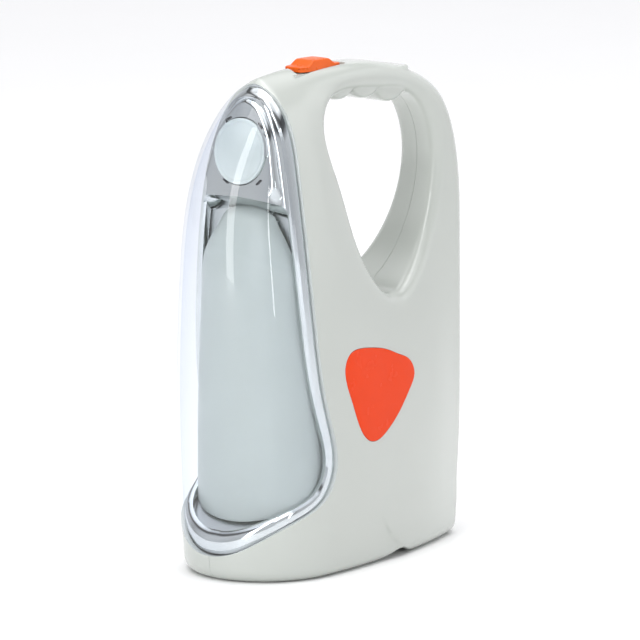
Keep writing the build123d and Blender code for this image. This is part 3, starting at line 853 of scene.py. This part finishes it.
def resample(points, count):
    """count points along a smooth curve through points, evenly spaced."""
    p = np.array(points, float)
    t = np.concatenate([[0], np.cumsum(np.linalg.norm(np.diff(p, axis=0), axis=1))])
    return spline(t, p)(np.linspace(0, t[-1], count))


# Three lines of the +X half, each from the bottom corner to the top: the panel's border, the
# crease round it and the rim of the cover. Then each starts with a run along the bottom.
SIDE = 70
BOTTOM = 30
crease = resample([(25, -63.4, 184.6), (23.6, -63.2, 195), (21.4, -62.6, 204), (17.2, -61.6, 218),
                   (10.8, -60.4, 228), (4.6, -59.7, 233.4), (0, -59.5, 234.8)], SIDE)
border = resample([(20.2, 0, 186.6), (19.4, 0, 195), (17.6, 0, 204), (13.6, 0, 216), (8.2, 0, 225),
                   (3.4, 0, 229.6), (0, 0, 230.6)], SIDE)
border[:, 1] = panel_y(border[:, 2])
rim_all = rim_row(0.4, 2.2, 1400)
rim_upper = rim_all[rim_all[:, 2] > 176][::-1]
rim_top = resample(rim_upper[::len(rim_upper) // 24], SIDE)
rim_top[-1] = rim_all[0]
t = np.linspace(0, 1, BOTTOM)[:-1, None]
low_border = (1 - t) * np.array([0, float(panel_y(187.6)), 187.6]) + t * border[0]
low_crease = (1 - t) * np.array([0, -63.0, 182.9]) + t * crease[0]
low_rim = (1 - t) * np.array([0, -58.4, 182.4]) + t * rim_top[0]
A = np.vstack([low_border, border])
C = np.vstack([low_crease, crease])
R = np.vstack([low_rim, rim_top])


def bezier(a, b, c, t):
    """Quadratic curve from a to c, drawn towards b."""
    return (1 - t) ** 2 * a + 2 * t * (1 - t) * b + t * t * c


ease = np.concatenate([np.zeros(BOTTOM - 1), smooth_step(np.linspace(0, 1, SIDE) * 5)])[:, None]
knee = C.copy()
knee[:, 1] = panel_y(C[:, 2]) - 0.2
knee = knee * ease + (A + C) / 2 * (1 - ease)
belly = (C + R) / 2
belly[:, 1] -= 2.4 * np.concatenate([np.zeros(BOTTOM - 1), np.ones(SIDE)])
centre = np.array(TORCH)
rot = np.array(Matrix.Rotation(-TORCH_TILT, 3, "X"))
flat = (A - centre) @ rot
angle = np.arctan2(flat[:, 2], flat[:, 0])
hole = np.stack([np.cos(angle), np.zeros_like(angle), np.sin(angle)], axis=1) * (LENS_R + 0.5)
hole_back = hole + np.array([0, 5.0, 0])
H, HB = hole @ rot.T + centre, hole_back @ rot.T + centre
H[0, 0] = HB[0, 0] = H[-1, 0] = HB[-1, 0] = 0
rows = [HB] + [H + (A - H) * s for s in (0, 0.03, 0.3, 0.6, 0.96, 1.0)]
rows += [bezier(A, knee, C, s) for s in (0.15, 0.3, 0.45, 0.6, 0.75, 0.88, 1.0)]
rows += [C + (R - C) * 0.02]
rows += [bezier(C, belly, R, s) for s in (0.08, 0.2, 0.35, 0.5, 0.65, 0.8, 0.92, 1.0)]
head = sheet(rows)
bmesh.ops.recalc_face_normals(head, faces=head.faces)
head = joined(head, mirrored(head))
bmesh.ops.remove_doubles(head, verts=head.verts, dist=0.02)
bmesh.ops.recalc_face_normals(head, faces=head.faces)
up = sum((f.normal.y * f.calc_area() for f in head.faces if abs(f.calc_center_median().x) < 15))
if up > 0:
    bmesh.ops.reverse_faces(head, faces=head.faces)
head = modified(head, wall(1.1))
piece("torch_head_chrome", head, FIXED, CHROME, ["torch_panel"], sharp=32)

torch_place = (Matrix.Translation(TORCH)
               @ Matrix.Rotation(math.radians(90) - TORCH_TILT, 4, "X"))
lens = lathe([(0, 3.1), (4, 2.95), (8, 2.45), (11.5, 1.75), (13.8, 1.1), (14.5, 0.95), (14.9, 1.25),
              (15.6, 1.35), (16.1, 1.1), (16.2, 0.6), (16.2, -1.2), (15.2, -1.4), (13.5, -0.4),
              (8, 0.9), (0, 1.5)], torch_place)
piece("torch_lens_dome", lens, FIXED, PEARL, ["torch_lens"], sharp=50)

# Dark marks round the lens, as (x, up) from its centre.
clips = []
for x, up in ((-9.5, 15.0), (11.5, 13.6), (-7.8, -15.3), (13.4, -14.0)):
    turn = Matrix.Rotation(math.atan2(up, x), 4, "Z")
    clip = box((0.9, 3.6, 1.0), (0, 0, 0), 0.25)
    clip.transform(torch_place @ Matrix.Translation((x, up, 0.2)) @ turn)
    clips.append(clip)
piece("torch_lens_clips", joined(*clips), FIXED, BLACK)

# ---- diffuser --------------------------------------------------------------------------------
diffuser_at = spline(DIFFUSER[:, 0], DIFFUSER[:, 1:])
levels = np.concatenate([
    np.linspace(-4, 150, 70),
    150 + 33.0 * np.sin(np.linspace(0, math.pi / 2, 46))[1:],
])
turns = np.linspace(-math.pi / 2, math.pi / 2, 97)
SQUARENESS = 0.92         # below 1, the section is fuller than an ellipse
ripple = 1 + 0.006 * np.cos(turns * 5)
rows = []
for z in levels:
    w, depth, back = diffuser_at(z)
    x = w * np.sign(turns) * np.abs(np.sin(turns)) ** SQUARENESS * ripple
    y = back - depth * np.abs(np.cos(turns)) ** SQUARENESS * ripple
    walls = np.array([(-w, -30, z), (-w, -40, z)]), np.array([(w, -40, z), (w, -30, z)])
    rows.append(np.vstack([walls[0], np.stack([x, y, np.full_like(x, z)], axis=1), walls[1]]))
diffuser = sheet(rows)
tip = diffuser.verts.new((0, -56.0, 183.6))
last = [v for v in diffuser.verts if abs(v.co.z - levels[-1]) < 1e-4]
last.sort(key=lambda v: math.atan2(v.co.x, -(v.co.y + 50)))
for a, b in zip(last, last[1:]):
    diffuser.faces.new((a, b, tip))
bmesh.ops.recalc_face_normals(diffuser, faces=diffuser.faces)


def floor_value(x, y, z):
    return rim_distance(y, z) + 1.9


cut_line(diffuser, floor_value, field=None)
drop(diffuser, lambda x, y, z: floor_value(x, y, z) > 0)
diffuser.normal_update()
front = [f.normal.y for f in diffuser.faces if abs(f.calc_center_median().x) < 5]
if sum(front) > 0:
    bmesh.ops.reverse_faces(diffuser, faces=diffuser.faces)
diffuser = modified(diffuser, wall(1.6), rounded(0.3))
piece("lantern_diffuser_shell", diffuser, FIXED, FROST, ["lantern_diffuser"],
      sharp=50)


# ---- switch ------------------------------------------------------------------------------------
def knob():
    """Plate with a saddle-sided hump, built of cross sections along Y."""
    tip = KNOB_HALF_LENGTH - np.array([0, 0.1, 0.4, 1.0])
    stations = np.concatenate([-tip, np.linspace(-13, 13, 53), tip[::-1]])
    rows = []
    for s in stations:
        end = np.clip((KNOB_HALF_LENGTH - abs(s)) / 2.6, 0, 1)
        half_w = KNOB_HALF_WIDTH - 2.4 * (1 - math.sqrt(1 - (1 - end) ** 2))
        half_w -= 0.5 * float(smooth_step((abs(s) - 8) / 8))
        rise = float(smooth_step((10.4 - abs(s)) / 5.2))
        top = 246.9 + 0.3 * (1 - (s / KNOB_HALF_LENGTH) ** 2) + 2.62 * rise - 0.35 * (abs(s) > 14.7)
        low = 244.5
        waist = 0.55 * rise
        corner = 0.9
        ring = [(-half_w, low), (-half_w, 246.2)]
        ring += [(-half_w + waist * 0.6, 246.9)] if rise > 0.02 else [(-half_w, 246.5)]
        for k in range(5):
            a = math.pi - k * math.pi / 8
            ring.append((-(half_w - waist - corner) + corner * math.cos(a),
                         top - corner * 0.8 + corner * 0.8 * math.sin(a)))
        flat = [(x, top + 0.12 * rise * (1 - (x / half_w) ** 2)) for x in (-3, -1, 1, 3)]
        ring = ring + flat + [(-x, z) for x, z in ring[::-1]]
        rows.append([(x, SWITCH_Y + s, z) for x, z in ring])
    bm = sheet(rows, closed=True)
    for row in (0, -1):
        ring = [v for v in bm.verts if abs(v.co.y - SWITCH_Y - stations[row]) < 1e-5]
        ring.sort(key=lambda v: math.atan2(v.co.z - 245.6, v.co.x))
        bm.faces.new(ring)
    bmesh.ops.recalc_face_normals(bm, faces=bm.faces)
    return bm


ribs = [box((9.0, 0.7, 0.5), (0, SWITCH_Y + y, 250.0 - 0.28), 0.16) for y in (-3.6, -1.2, 1.2, 3.6)]
stem = box((3.4, 6.0, 3.4), (0, SWITCH_Y, 243.1), 0.2)
piece("switch_knob_cap", joined(knob(), stem, *ribs), MOVING, SWITCH,
      ["switch_knob"], sharp=40)


# ---- stage: floor, lights, camera -----------------------------------------------------------------
floor = bpy.data.objects.new("floor", bpy.data.meshes.new("floor"))
bm = bmesh.new()
bmesh.ops.create_grid(bm, x_segments=8, y_segments=8, size=9.0)
bm.to_mesh(floor.data)
floor.data.materials.append(material("floor_white", (0.93, 0.93, 0.93), 0.6, spread=0.004, scale=4,
                                     bump=0.0, rough_spread=0.02))
bpy.context.scene.collection.objects.link(floor)


def lamp(name, place, target, size, power):
    """White area light, size (across, up) in metres and power in watts."""
    light = bpy.data.lights.new(name, "AREA")
    light.shape = "RECTANGLE"
    light.size, light.size_y = size
    light.energy = power
    obj = bpy.data.objects.new(name, light)
    bpy.context.scene.collection.objects.link(obj)
    obj.location = place
    obj.rotation_mode = "QUATERNION"
    obj.rotation_quaternion = (Vector(target) - Vector(place)).to_track_quat("-Z", "Y")
    return obj


middle = (CAD_BOX[0] + CAD_BOX[1]) / 2
lamp("strip", (0.30, -1.50, 0.75), middle, (0.38, 2.2), 12)
lamp("strip_side", (1.75, -0.65, 0.30), middle, (0.05, 0.9), 1.2)
lamp("overhead", (0.0, -0.1, 2.0), middle, (1.1, 2.0), 16)
lamp("key", (0.5, -1.9, 1.6), middle, (1.0, 1.0), 1.5)
lamp("back", (1.4, 1.7, 0.9), middle, (1.4, 1.8), 3)

world = bpy.data.worlds.new("studio")
bpy.context.scene.world = world
world.use_nodes = True
tree = world.node_tree
sky = tree.nodes["Background"]
sky.inputs["Strength"].default_value = 0.88
direction = tree.nodes.new("ShaderNodeTexCoord").outputs["Generated"]
split = tree.nodes.new("ShaderNodeSeparateXYZ")
tree.links.new(direction, split.inputs["Vector"])


def sky_ramp(value, stops):
    """Grey levels along one component of the direction, each stop (-1 to 1, level)."""
    node = tree.nodes.new("ShaderNodeValToRGB")
    half = tree.nodes.new("ShaderNodeMath")
    half.operation = "MULTIPLY_ADD"
    half.inputs[1].default_value = half.inputs[2].default_value = 0.5
    tree.links.new(value, half.inputs[0])
    tree.links.new(half.outputs[0], node.inputs["Fac"])
    ends = node.color_ramp.elements
    ends.remove(ends[1])
    ends[0].position = 0
    for place, level in stops:
        end = ends.new((place + 1) / 2)
        end.color = (level, level, level * 1.01, 1)
    ends.remove(ends[0])
    return node.outputs["Color"]


across = sky_ramp(split.outputs["Y"], [(-1, 0.78), (-0.72, 0.95), (-0.45, 0.82), (-0.3, 0.55),
                                       (-0.1, 0.8), (0.3, 0.95), (0.6, 1.2), (1, 1.2)])
height = sky_ramp(split.outputs["Z"], [(-0.2, 0.88), (0.1, 0.88), (0.5, 0.95), (0.6, 0.15),
                                       (0.7, 0.15), (0.8, 2.0), (1, 2.0)])
product = tree.nodes.new("ShaderNodeMix")
product.data_type = "RGBA"
product.blend_type = "MULTIPLY"
product.inputs["Factor"].default_value = 1.0
tree.links.new(across, product.inputs["A"])
tree.links.new(height, product.inputs["B"])
tree.links.new(product.outputs["Result"], sky.inputs["Color"])

AZIMUTH, ELEVATION = math.radians(40.9), math.radians(9.9)
DISTANCE = 3.0
camera = bpy.data.cameras.new("camera")
camera.sensor_width = 36.0
camera.lens = 340.0
camera.clip_end = 60.0
eye = bpy.data.objects.new("camera", camera)
bpy.context.scene.collection.objects.link(eye)
away = Vector((math.sin(AZIMUTH) * math.cos(ELEVATION), -math.cos(AZIMUTH) * math.cos(ELEVATION),
               math.sin(ELEVATION)))
AIM = Vector((-0.0026, -0.0039, 0.1178))
eye.location = AIM + away * DISTANCE
eye.rotation_mode = "QUATERNION"
eye.rotation_quaternion = (-away).to_track_quat("-Z", "Y")
bpy.context.scene.camera = eye
bpy.context.scene.view_settings.view_transform = "Standard"
